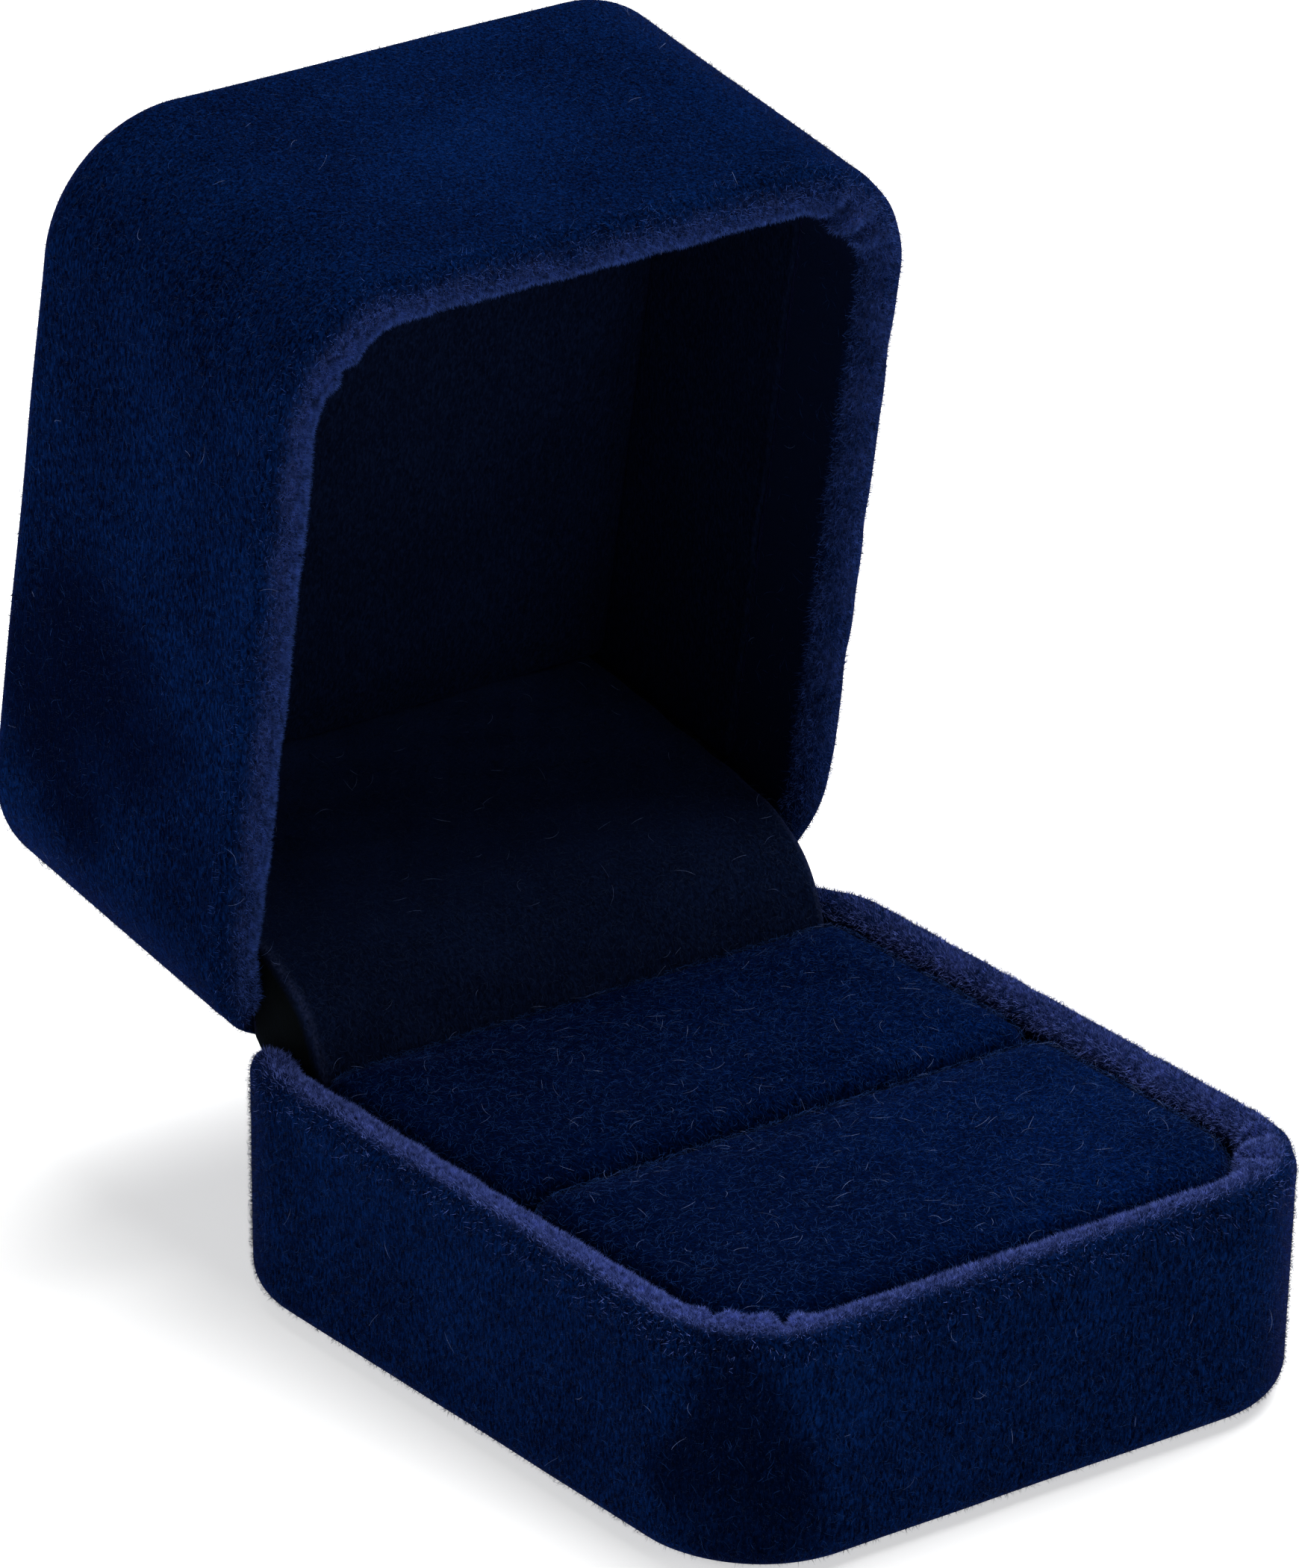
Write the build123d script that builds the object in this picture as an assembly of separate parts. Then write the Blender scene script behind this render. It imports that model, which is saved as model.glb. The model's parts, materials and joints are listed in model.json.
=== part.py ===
from build123d import *
import math
import os

os.makedirs("parts", exist_ok=True)

# A velvet ring box with a snap hinge, modelled open. Millimetres, +Z up, front towards -Y.
# The origin is the middle of the face that it stands on.

# ---- box ----
WIDTH = 51.0  # over the velvet, side to side
DEPTH = 58.5  # over the velvet, front to back
BASE_HEIGHT = 17.1  # velvet underside to base rim
FOOT = 0.25  # the card under the base stands proud of the velvet
LID_HEIGHT = 28.4  # lid rim to crown
SEAM_GAP = 0.24  # between the two rims when the box is shut
CORNER_R = 9.7  # upright corners
EDGE_R = 1.95  # underside and crown edges
BASE_DRAFT = 1.1  # degrees, each side
LID_DRAFT = 0.2
VELVET = 0.75  # pile and backing
WALL = 1.8  # moulded shells
TURN_IN = 8.0  # velvet turned down inside the rim
CARD = 0.4
THICK_CARD = 0.6

# ---- hinge ----
OPEN_ANGLE = 81.0
PIN_Y = 26.08
PIN_R = 0.6
PIN_HALF = 21.0
PIN_END_GAP = 0.3
KNUCKLE_R = 1.05
KNUCKLE_PLAY = 0.05  # lid knuckles turn on the pin
KNUCKLE_SIDE_GAP = 0.3
SHELL_RELIEF_R = 3.0  # the back rims are cleared round the hinge line
VELVET_RELIEF_R = 2.25
RIM_FALL_Y = 19.5  # behind this the rims fall away towards the hinge
VELVET_FALL = 8.0  # degrees
SHELL_FALL = 13.0
STOP_GAP = 0.15  # each back rim stands this far off the plane where they meet
LEAF = 0.5
LEAF_HALF = 20.0
LEAF_HEIGHT = 8.0
LEAF_TOP = -1.6  # from the rim
BASE_KNUCKLES = [(-20.0, -14.0), (-3.0, 3.0), (14.0, 20.0)]
LID_KNUCKLES = [(-14.0, -3.0), (3.0, 14.0)]
RIVET_X = 11.0
RIVET_DROP = 6.0  # below the rim
RIVET_R = 0.8
RIVET_HEAD_R = 1.4
RIVET_HEAD = 0.4

# ---- cover over the hinge ----
COVER_R = 18.0  # bow of the cover plate
COVER_REACH = 3.65  # pin centre to the velvet's face
COVER_RISE = 4.0  # half height of the cover plate
COVER_HALF = 21.2
COVER_SIDE_GAP = 0.3
COVER_VELVET = 0.65
PLATE = 0.35
EAR_OUT = 20.75
EAR_IN = 20.35
SPRING = 0.25
SPRING_R = 6.1
SPRING_REACH = 1.45
SPRING_RISE = 3.2
SPRING_X = 8.5
SPRING_WIDTH = 4.0
BACK_PANEL_Y = 20.7  # face of the covered cards before and above the hinge
BACK_PANEL_GAP = 3.35  # from each rim to the edge of its covered card

# ---- ring pads ----
PAD_HALF = 21.5
PAD_TOP = 17.15
PAD_EDGE_R = 1.8
PAD_FRONT = -25.3
PAD_BACK = 20.6
PAD_CORNER_R = 5.8
PAD_SMALL_R = 1.2
CROWN_CORNER_R = 6.3
SLOT_Y = -1.5
SLOT = 0.8
PAD_VELVET = 0.65

# ---- crown pad, heights above the lid rim ----
CROWN_FACE = 21.4
CROWN_SIDE_GAP = 0.2
UNDER_MARGIN = 5.0  # velvet turned under the base

HINGE_TILT = OPEN_ANGLE / 2
RIM_Z = FOOT + BASE_HEIGHT
PIN_Z = RIM_Z + SEAM_GAP / 2
PIN_ABOVE_RIM = SEAM_GAP / 2
INNER = VELVET + WALL  # from the outer face to the shell's inner face
RIM = INNER + VELVET  # whole rim
SHELL_BACK_Y = DEPTH / 2 - INNER


# ---- one half of the box, rim at z = 0, mouth up ----

def rounded_block(inset, depth, draft):
    """Solid block whose sides are inset from the outer velvet face."""
    plane = Plane(origin=(0, 0, 0), x_dir=(1, 0, 0), z_dir=(0, 0, -1))
    outline = RectangleRounded(WIDTH - 2 * inset, DEPTH - 2 * inset, CORNER_R - inset)
    return extrude(plane * outline, amount=depth, taper=draft)


def bottom_edges(solid):
    return solid.edges().group_by(Axis.Z)[0]


def top_edges(solid):
    return solid.edges().group_by(Axis.Z)[-1]


def layer(low, high):
    """Slab wider than the box between two heights."""
    return Pos(0, 0, (low + high) / 2) * Box(2 * WIDTH, 2 * DEPTH, high - low)


def bar(x0, x1, y0, y1, z0, z1):
    return Pos((x0 + x1) / 2, (y0 + y1) / 2, (z0 + z1) / 2) * Box(x1 - x0, y1 - y0, z1 - z0)


def along_x(radius, x0, x1, y=PIN_Y, z=PIN_ABOVE_RIM):
    """Round bar along X, on the hinge line unless told otherwise."""
    return Pos((x0 + x1) / 2, y, z) * Rot(0, 90, 0) * Cylinder(radius, x1 - x0)


def hinge_clearance(relief_r):
    """What both back rims lose so that they can meet when the box is open."""
    tilt = math.radians(HINGE_TILT)
    normal = (0, math.sin(tilt), math.cos(tilt))
    foot = (0, PIN_Y - STOP_GAP * normal[1], PIN_ABOVE_RIM - STOP_GAP * normal[2])
    plane = Plane(origin=foot, x_dir=(1, 0, 0), z_dir=normal)
    wedge = plane * Box(WIDTH, 16, 6, align=(Align.CENTER, Align.CENTER, Align.MIN))
    return wedge + along_x(relief_r, -PIN_HALF - PIN_END_GAP, PIN_HALF + PIN_END_GAP)


def rim_fall(top, angle):
    """What a back rim loses so that it falls away towards the hinge."""
    tilt = math.radians(angle)
    normal = (0, math.sin(tilt), math.cos(tilt))
    plane = Plane(origin=(0, RIM_FALL_Y, top), x_dir=(1, 0, 0), z_dir=normal)
    return plane * Box(WIDTH, 14, 6, align=(Align.CENTER, Align.MIN, Align.MIN))


def half_shell(depth, draft):
    """Moulded shell of one half, with its rivet holes."""
    body = rounded_block(VELVET, depth - VELVET, draft) & layer(-depth, -VELVET)
    body = fillet(bottom_edges(body), EDGE_R - VELVET)
    body = body - rounded_block(INNER, depth - INNER, draft)
    body = fillet(top_edges(body), WALL / 2 - 0.05)
    leaf_seat = bar(-LEAF_HALF, LEAF_HALF, PIN_Y - 1, SHELL_BACK_Y, LEAF_TOP - LEAF_HEIGHT, 0)
    body = body - leaf_seat - rim_fall(-VELVET, SHELL_FALL)
    return body - hinge_clearance(SHELL_RELIEF_R) - rivets()


def half_velvet(depth, draft, shell):
    """Velvet over one half, wrapped over the rim and turned in."""
    body = fillet(bottom_edges(rounded_block(0, depth, draft)), EDGE_R)
    body = body - (rounded_block(RIM, depth, draft) & layer(-TURN_IN, 0))
    body = fillet(top_edges(body), RIM / 2 - 0.05)
    core = fillet(bottom_edges(rounded_block(VELVET, depth - VELVET, draft)), EDGE_R - VELVET)
    body = body - (core & layer(-depth, -TURN_IN)) - shell
    bay_half = COVER_HALF + COVER_SIDE_GAP
    hinge_bay = bar(-bay_half, bay_half, PIN_Y - 5, SHELL_BACK_Y, -TURN_IN - 1, 0.1)
    body = body - hinge_bay - rim_fall(0, VELVET_FALL)
    body = body - hinge_clearance(VELVET_RELIEF_R) - rivets()
    return body.solids().sort_by(SortBy.VOLUME)[-1]


def leaf(knuckles, bore_r):
    """Hinge leaf against the shell's back wall, with its rolled knuckles."""
    front = SHELL_BACK_Y - LEAF
    plate = bar(-LEAF_HALF, LEAF_HALF, front, SHELL_BACK_Y, LEAF_TOP - LEAF_HEIGHT, LEAF_TOP)
    for x0, x1 in knuckles:
        neck = bar(x0, x1, front, SHELL_BACK_Y, LEAF_TOP, PIN_ABOVE_RIM - PIN_R)
        plate = plate + neck + along_x(KNUCKLE_R, x0, x1)
    return plate - along_x(bore_r, -PIN_HALF, PIN_HALF) - rivets()


def rivets():
    """Pair of rivets through a leaf and the shell's back wall."""
    front = SHELL_BACK_Y - LEAF
    back = DEPTH / 2 - VELVET - 0.3
    pair = []
    for x in (-RIVET_X, RIVET_X):
        axis = Pos(x, 0, -RIVET_DROP) * Rot(-90, 0, 0)
        low = (Align.CENTER, Align.CENTER, Align.MIN)
        shank = axis * Pos(0, 0, front) * Cylinder(RIVET_R, back - front, align=low)
        head = axis * Pos(0, 0, front - RIVET_HEAD) * Cylinder(RIVET_HEAD_R, RIVET_HEAD, align=low)
        tail = axis * Pos(0, 0, back - RIVET_HEAD) * Cylinder(RIVET_HEAD_R, RIVET_HEAD, align=low)
        pair.append(shank + head + tail)
    return pair[0] + pair[1]


def back_card(depth):
    """Card that stands before the hinge, from the shell's floor."""
    y0 = BACK_PANEL_Y + COVER_VELVET
    half = COVER_HALF - COVER_VELVET
    return bar(-half, half, y0, y0 + CARD, INNER - depth, -BACK_PANEL_GAP)


def back_velvet(bottom):
    """Velvet on the face of that card."""
    y1 = BACK_PANEL_Y + COVER_VELVET
    return bar(-COVER_HALF, COVER_HALF, BACK_PANEL_Y, y1, bottom, -BACK_PANEL_GAP)


# ---- base ----

def bottom_card():
    """Card pasted over the turned-under velvet; the box stands on it."""
    outline = rounded_block(UNDER_MARGIN, RIM_Z, 0)
    return outline & layer(-RIM_Z, VELVET - BASE_HEIGHT)


def pad_outline(y0, y1, grow, front_r, back_r):
    """Plan of one ring pad."""
    half = PAD_HALF + grow
    plan = Pos(0, (y0 + y1) / 2) * Rectangle(2 * half, y1 - y0 + 2 * grow)
    corners = plan.vertices().group_by(Axis.Y)
    plan = fillet(corners[0], front_r + grow)
    return fillet(plan.vertices().group_by(Axis.Y)[-1], back_r + grow)


def ring_pad(y0, y1, front_r, back_r):
    """Foam bar and the velvet wrapped over it."""
    floor = FOOT + INNER + THICK_CARD
    cover = Pos(0, 0, floor) * extrude(pad_outline(y0, y1, 0, front_r, back_r), PAD_TOP - floor)
    cover = fillet(cover.faces().sort_by(Axis.Z)[-1].edges(), PAD_EDGE_R)
    core_height = PAD_TOP - PAD_VELVET - floor
    plan = pad_outline(y0, y1, -PAD_VELVET, front_r, back_r)
    foam = Pos(0, 0, floor) * extrude(plan, core_height)
    foam = fillet(foam.faces().sort_by(Axis.Z)[-1].edges(), PAD_EDGE_R - PAD_VELVET)
    return foam, cover - foam


def insert_card():
    plan = pad_outline(PAD_FRONT, PAD_BACK, 0, PAD_CORNER_R, PAD_SMALL_R)
    return Pos(0, 0, FOOT + INNER) * extrude(plan, THICK_CARD)


# ---- cover plate, standing upright as when the box is shut ----

def bowed(radius, thickness, reach, rise, x0, x1, centre_ahead):
    """Strip bent about X, its near face at reach in front of the pin."""
    sign = -1 if centre_ahead else 1
    centre_y = PIN_Y - reach + sign * radius
    inner_r = radius - thickness
    ring = along_x(radius, x0, x1, y=centre_y) - along_x(inner_r, x0, x1, y=centre_y)
    near = PIN_Y - reach
    window = bar(x0, x1, near - 3, near + 3, PIN_ABOVE_RIM - rise, PIN_ABOVE_RIM + rise)
    return ring & window


def cover_plate():
    steel_r = COVER_R - COVER_VELVET
    steel_reach = COVER_REACH - COVER_VELVET
    plate = bowed(steel_r, PLATE, steel_reach, COVER_RISE, -EAR_OUT, EAR_OUT, False)
    for x0, x1 in ((-EAR_OUT, -EAR_IN), (EAR_IN, EAR_OUT)):
        arm = bar(x0, x1, PIN_Y - steel_reach + PLATE / 2, PIN_Y, -KNUCKLE_R, KNUCKLE_R)
        eye = along_x(KNUCKLE_R, x0, x1)
        plate = plate + (Pos(0, 0, PIN_ABOVE_RIM) * arm) + eye
    return plate - along_x(PIN_R + KNUCKLE_PLAY, -PIN_HALF, PIN_HALF)


def cover_plate_velvet():
    return bowed(COVER_R, COVER_VELVET, COVER_REACH, COVER_RISE, -COVER_HALF, COVER_HALF, False)


def snap_springs(plate):
    """Two bowed strips behind the plate that ride on the knuckles."""
    pair = []
    for x in (-SPRING_X, SPRING_X):
        x0 = x - SPRING_WIDTH / 2
        x1 = x + SPRING_WIDTH / 2
        strip = bowed(SPRING_R, SPRING, SPRING_REACH, SPRING_RISE, x0, x1, True)
        pair.append(strip - plate)
    return pair[0] + pair[1]


# ---- lid, rim at z = 0, mouth up ----

def side_liner():
    """Lining strip round the lid, from the turned-in velvet to the crown."""
    ring = rounded_block(INNER, LID_HEIGHT - INNER, LID_DRAFT) & layer(-LID_HEIGHT, -TURN_IN)
    ring = ring - rounded_block(RIM, LID_HEIGHT, LID_DRAFT)
    behind = bar(-COVER_HALF, COVER_HALF, BACK_PANEL_Y, DEPTH / 2, -LID_HEIGHT, 0)
    return ring - behind


def crown_plan(inset):
    """Plan of the crown pad; its back edge meets the covered back card."""
    half = WIDTH / 2 - RIM - CROWN_SIDE_GAP - inset
    front = -(DEPTH / 2 - RIM - CROWN_SIDE_GAP) + inset
    back = BACK_PANEL_Y - 0.05 - inset
    plan = Pos(0, (front + back) / 2) * Rectangle(2 * half, back - front)
    return fillet(plan.vertices().group_by(Axis.Y)[0], CROWN_CORNER_R - inset)


def crown_pad():
    """Card, foam and velvet lining the crown."""
    ceiling = INNER - LID_HEIGHT
    face = -CROWN_FACE
    card = Pos(0, 0, ceiling) * extrude(crown_plan(0), THICK_CARD)
    velvet_height = face - ceiling - THICK_CARD
    velvet = Pos(0, 0, ceiling + THICK_CARD) * extrude(crown_plan(0), velvet_height)
    velvet = fillet(velvet.faces().sort_by(Axis.Z)[-1].edges(), PAD_SMALL_R)
    foam_height = velvet_height - PAD_VELVET
    foam = Pos(0, 0, ceiling + THICK_CARD) * extrude(crown_plan(PAD_VELVET), foam_height)
    return card, foam, velvet - foam


# ---- placing ----

def in_base(solid):
    return Pos(0, 0, RIM_Z) * solid


def turned_about_pin(solid, angle):
    """Turn backwards about the hinge line."""
    return Pos(0, PIN_Y, PIN_Z) * Rot(-angle, 0, 0) * Pos(0, -PIN_Y, -PIN_Z) * solid


def in_lid(solid):
    """Mirror a half onto the base, then open it."""
    shut = Pos(0, 0, RIM_Z + SEAM_GAP) * mirror(solid, about=Plane.XY)
    return turned_about_pin(shut, OPEN_ANGLE)


def in_cover(solid):
    """The cover plate turns through half the lid's angle."""
    return turned_about_pin(in_base(solid), HINGE_TILT)


def build():
    base_shell = half_shell(BASE_HEIGHT, BASE_DRAFT)
    base_velvet = half_velvet(BASE_HEIGHT, BASE_DRAFT, base_shell) - bottom_card()
    lid_shell = half_shell(LID_HEIGHT, LID_DRAFT)
    lid_velvet = half_velvet(LID_HEIGHT, LID_DRAFT, lid_shell)
    rear_foam, rear_velvet = ring_pad(SLOT_Y + SLOT / 2, PAD_BACK, PAD_SMALL_R, PAD_SMALL_R)
    front_foam, front_velvet = ring_pad(PAD_FRONT, SLOT_Y - SLOT / 2, PAD_CORNER_R, PAD_SMALL_R)
    plate = cover_plate()
    crown_card, crown_foam, crown_velvet = crown_pad()
    return {
        "base_shell": in_base(base_shell),
        "base_velvet": in_base(base_velvet),
        "bottom_card": in_base(bottom_card()),
        "insert_card": insert_card(),
        "rear_pad_foam": rear_foam,
        "rear_pad_velvet": rear_velvet,
        "front_pad_foam": front_foam,
        "front_pad_velvet": front_velvet,
        "base_back_card": in_base(back_card(BASE_HEIGHT)),
        "base_back_velvet": in_base(back_velvet(INNER - BASE_HEIGHT)),
        "hinge_base_leaf": in_base(leaf(BASE_KNUCKLES, PIN_R)),
        "hinge_base_rivets": in_base(rivets()),
        "hinge_pin": in_base(along_x(PIN_R, -PIN_HALF, PIN_HALF)),
        "cover_plate": in_cover(plate),
        "cover_plate_velvet": in_cover(cover_plate_velvet()),
        "snap_springs": in_cover(snap_springs(plate)),
        "lid_shell": in_lid(lid_shell),
        "lid_velvet": in_lid(lid_velvet),
        "lid_side_liner": in_lid(side_liner()),
        "crown_card": in_lid(crown_card),
        "crown_foam": in_lid(crown_foam),
        "crown_velvet": in_lid(crown_velvet),
        "lid_back_card": in_lid(back_card(LID_HEIGHT)),
        "lid_back_velvet": in_lid(back_velvet(-CROWN_FACE)),
        "hinge_lid_leaf": in_lid(leaf(lid_knuckles(), PIN_R + KNUCKLE_PLAY)),
        "hinge_lid_rivets": in_lid(rivets()),
    }


def lid_knuckles():
    """The lid's knuckles, shortened to run clear of the base's."""
    return [(x0 + KNUCKLE_SIDE_GAP, x1 - KNUCKLE_SIDE_GAP) for x0, x1 in LID_KNUCKLES]


for name, solid in build().items():
    export_step(solid, f"parts/{name}.step")
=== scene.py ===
import json
import math

import bmesh
import bpy
import numpy as np
from mathutils import Matrix, Vector

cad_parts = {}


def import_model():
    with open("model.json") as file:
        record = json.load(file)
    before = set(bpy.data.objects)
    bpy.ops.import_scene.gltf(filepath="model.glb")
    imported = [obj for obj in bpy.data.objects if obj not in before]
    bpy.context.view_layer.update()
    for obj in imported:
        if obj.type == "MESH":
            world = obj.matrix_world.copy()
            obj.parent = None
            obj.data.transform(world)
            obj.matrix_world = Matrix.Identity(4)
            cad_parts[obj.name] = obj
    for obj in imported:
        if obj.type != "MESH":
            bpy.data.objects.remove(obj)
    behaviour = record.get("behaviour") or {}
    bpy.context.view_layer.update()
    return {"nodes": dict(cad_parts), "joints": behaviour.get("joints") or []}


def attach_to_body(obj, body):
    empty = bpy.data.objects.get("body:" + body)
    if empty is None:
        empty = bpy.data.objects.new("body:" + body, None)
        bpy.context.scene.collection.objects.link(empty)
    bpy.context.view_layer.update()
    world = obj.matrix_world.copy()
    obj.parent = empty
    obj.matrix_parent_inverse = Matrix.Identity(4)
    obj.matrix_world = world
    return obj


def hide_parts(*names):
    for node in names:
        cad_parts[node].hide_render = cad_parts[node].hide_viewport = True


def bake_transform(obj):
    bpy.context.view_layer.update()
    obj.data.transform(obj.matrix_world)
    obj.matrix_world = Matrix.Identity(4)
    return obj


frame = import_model()

# A navy velvet ring box, standing open. Sizes are in millimetres until a mesh is made.
# Each half is shaped with its rim at height 0 and its mouth up, then put in its place.
MM = 0.001

# ---- box ----
WIDTH = 51.0
DEPTH = 58.5
BASE_DEPTH = 17.1
LID_DEPTH = 28.4
CORNER_R = 9.7
EDGE_R = 1.95
BASE_DRAFT = math.radians(1.1)
LID_DRAFT = math.radians(0.2)
RIM = 3.3  # width of the rolled rim
BEAD_R = RIM / 2
PILE_ROOM = 0.2  # the rims stop this far short, so that their pile can meet
TURN_IN = 8.0
UNDER_MARGIN = 5.0
VELVET = 0.55  # thickness of backing and matted pile
FOOT = 0.25
SEAM_GAP = 0.24
RIM_Z = FOOT + BASE_DEPTH

# ---- hinge ----
lid_joint = [j for j in frame["joints"] if j["name"] == "lid_hinge"][0]
PIN_Y = lid_joint["pos_m"][1] / MM
PIN_Z = lid_joint["pos_m"][2] / MM
OPEN_ANGLE = math.radians(lid_joint["range_deg"][1])
HINGE_TILT = OPEN_ANGLE / 2
PIN_ABOVE_RIM = SEAM_GAP / 2
STOP_GAP = 0.15
COVER_HALF = 21.3
HINGE_HALF = 21.35  # half width of what turns at the hinge
HINGE_CLEAR_R = 2.5
BAY_FRONT = (20.4, 21.6)  # the hinge's bay in the velvet fades in between these
BAY_BACK = (24.6, 25.6)  # and out between these
BAY_CLEAR = 0.15
BAY_REACH = 1.6  # how far inside the hinge's half width a point is still pushed out
RIM_FALL_Y = 19.5  # behind this the rims fall away towards the hinge
BASE_FALL = math.radians(1)
LID_FALL = math.radians(8)
BACK_PANEL_Y = 20.7

# ---- pads ----
PAD_HALF = 21.5
PAD_TOP = 17.15
PAD_FLOOR = 3.4
PAD_FRONT = -25.3
PAD_BACK = 20.6
PAD_CORNER_R = 5.8
PAD_SMALL_R = 1.2
SLOT_Y = -1.5
SLOT = 0.8
CROWN_FACE = 21.4  # above the lid rim
CROWN_CEILING = 25.3
CROWN_CORNER_R = 6.3
CROWN_HALF = WIDTH / 2 - RIM - 0.2
CROWN_FRONT = -(DEPTH / 2 - RIM - 0.2)


# ---- small tools ----

MERGE = 0.004  # points closer than this are made one


def waves(points, wavelength, seed, terms=9):
    """Soft random field of about unit size, from a few seeded waves."""
    rng = np.random.default_rng(seed)
    way = rng.normal(size=(terms, 3))
    way /= np.linalg.norm(way, axis=1)[:, None]
    number = 2 * math.pi / (wavelength * rng.uniform(0.7, 1.5, terms))
    phase = rng.uniform(0, 2 * math.pi, terms)
    return np.sin(points @ (way * number[:, None]).T + phase).sum(-1) / math.sqrt(terms)


def smoothstep(x, low, high):
    t = np.clip((x - low) / (high - low), 0, 1)
    return t * t * (3 - 2 * t)


def new_piece(name, points, faces, material, smooth=True):
    """Mesh piece from points in millimetres and faces that all have as many sides."""
    points = np.asarray(points, float).reshape(-1, 3) * MM
    faces = np.asarray(faces, np.int32)
    data = bpy.data.meshes.new(name)
    data.vertices.add(len(points))
    data.vertices.foreach_set("co", points.ravel())
    data.loops.add(faces.size)
    data.loops.foreach_set("vertex_index", faces.ravel())
    data.polygons.add(len(faces))
    data.polygons.foreach_set("loop_start", np.arange(0, faces.size, faces.shape[1], dtype=np.int32))
    data.update(calc_edges=True)
    data.polygons.foreach_set("use_smooth", np.full(len(faces), smooth))
    data.materials.append(material)
    piece = bpy.data.objects.new(name, data)
    bpy.context.scene.collection.objects.link(piece)
    return piece


def set_values(piece, name, values):
    """One number for each point of a piece, which its material can read."""
    attribute = piece.data.attributes.new(name, "FLOAT", "POINT")
    attribute.data.foreach_set("value", np.asarray(values, np.float32).ravel())


def mend(piece, merge=0.0):
    """Merge points that lie together, and turn every face outwards."""
    mesh = bmesh.new()
    mesh.from_mesh(piece.data)
    bmesh.ops.remove_doubles(mesh, verts=mesh.verts, dist=merge * MM)
    bmesh.ops.recalc_face_normals(mesh, faces=mesh.faces)
    mesh.to_mesh(piece.data)
    mesh.free()


def apply_modifiers(piece):
    """Keep what the modifiers make as the piece's own mesh."""
    graph = bpy.context.evaluated_depsgraph_get()
    made = bpy.data.meshes.new_from_object(piece.evaluated_get(graph))
    piece.modifiers.clear()
    old = piece.data
    piece.data = made
    bpy.data.meshes.remove(old)


def thicken(piece, thickness):
    """Give a sheet its thickness, inwards from its face."""
    solidify = piece.modifiers.new("thickness", "SOLIDIFY")
    solidify.thickness = thickness * MM
    solidify.offset = -1
    apply_modifiers(piece)


def grid_faces(rows, columns, closed):
    """Quads between neighbouring rows; closed joins the last column to the first."""
    index = np.arange(rows * columns).reshape(rows, columns)
    if closed:
        index = np.hstack([index, index[:, :1]])
    corners = [index[:-1, :-1], index[:-1, 1:], index[1:, 1:], index[1:, :-1]]
    return np.stack(corners, -1).reshape(-1, 4)


def in_base(points):
    return points + np.array([0, 0, RIM_Z])


def in_lid(points):
    """Mirror a half onto the base, then open it about the hinge line."""
    shut = points * np.array([1, 1, -1]) + np.array([0, 0, RIM_Z + SEAM_GAP])
    y = shut[..., 1] - PIN_Y
    z = shut[..., 2] - PIN_Z
    turned = shut.copy()
    turned[..., 1] = PIN_Y + y * math.cos(OPEN_ANGLE) + z * math.sin(OPEN_ANGLE)
    turned[..., 2] = PIN_Z - y * math.sin(OPEN_ANGLE) + z * math.cos(OPEN_ANGLE)
    return turned


# ---- materials ----

NOISE = "ShaderNodeTexNoise"
CELLS = "ShaderNodeTexVoronoi"


def new_material(name):
    material = bpy.data.materials.new(name)
    material.use_nodes = True
    return material, material.node_tree, material.node_tree.nodes["Principled BSDF"]


def texture(tree, size, detail=2.0, kind=NOISE, stretch=1.0, swirl=0.0):
    """Noise whose grains measure about size millimetres, in the frame's own space."""
    place = tree.nodes.new("ShaderNodeTexCoord")
    mapping = tree.nodes.new("ShaderNodeMapping")
    mapping.inputs["Rotation"].default_value = (0.5, 0.3, 0.6)
    mapping.inputs["Scale"].default_value = (1, 1, 1 / stretch)
    grain = tree.nodes.new(kind)
    grain.inputs["Scale"].default_value = 1 / (size * MM)
    if kind == NOISE:
        grain.inputs["Detail"].default_value = detail
        grain.inputs["Distortion"].default_value = swirl
    tree.links.new(place.outputs["Object"], mapping.inputs["Vector"])
    tree.links.new(mapping.outputs["Vector"], grain.inputs["Vector"])
    return grain.outputs[0]


def blend_values(tree, a, b, share):
    """a and b mixed, with that share of b."""
    mix = tree.nodes.new("ShaderNodeMix")
    mix.inputs["Factor"].default_value = share
    tree.links.new(a, mix.inputs["A"])
    tree.links.new(b, mix.inputs["B"])
    return mix.outputs["Result"]


def ramp(tree, value, stops):
    """Colour along value; stops are (position, linear colour)."""
    made = tree.nodes.new("ShaderNodeValToRGB")
    band = made.color_ramp
    while len(band.elements) < len(stops):
        band.elements.new(0.5)
    for element, (position, colour) in zip(band.elements, stops):
        element.position = position
        element.color = (*colour, 1)
    tree.links.new(value, made.inputs["Fac"])
    return made.outputs["Color"]


def bump(tree, shader, height, depth, strength):
    made = tree.nodes.new("ShaderNodeBump")
    made.inputs["Strength"].default_value = strength
    made.inputs["Distance"].default_value = depth * MM
    tree.links.new(height, made.inputs["Height"])
    tree.links.new(made.outputs["Normal"], shader.inputs["Normal"])


def scaled(colour, factor):
    return tuple(c * factor for c in colour)


def spread(tree, value, low, high):
    """Value stretched so that low becomes 0 and high becomes 1."""
    made = tree.nodes.new("ShaderNodeMapRange")
    made.inputs["From Min"].default_value = low
    made.inputs["From Max"].default_value = high
    tree.links.new(value, made.inputs["Value"])
    return made.outputs["Result"]


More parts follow.
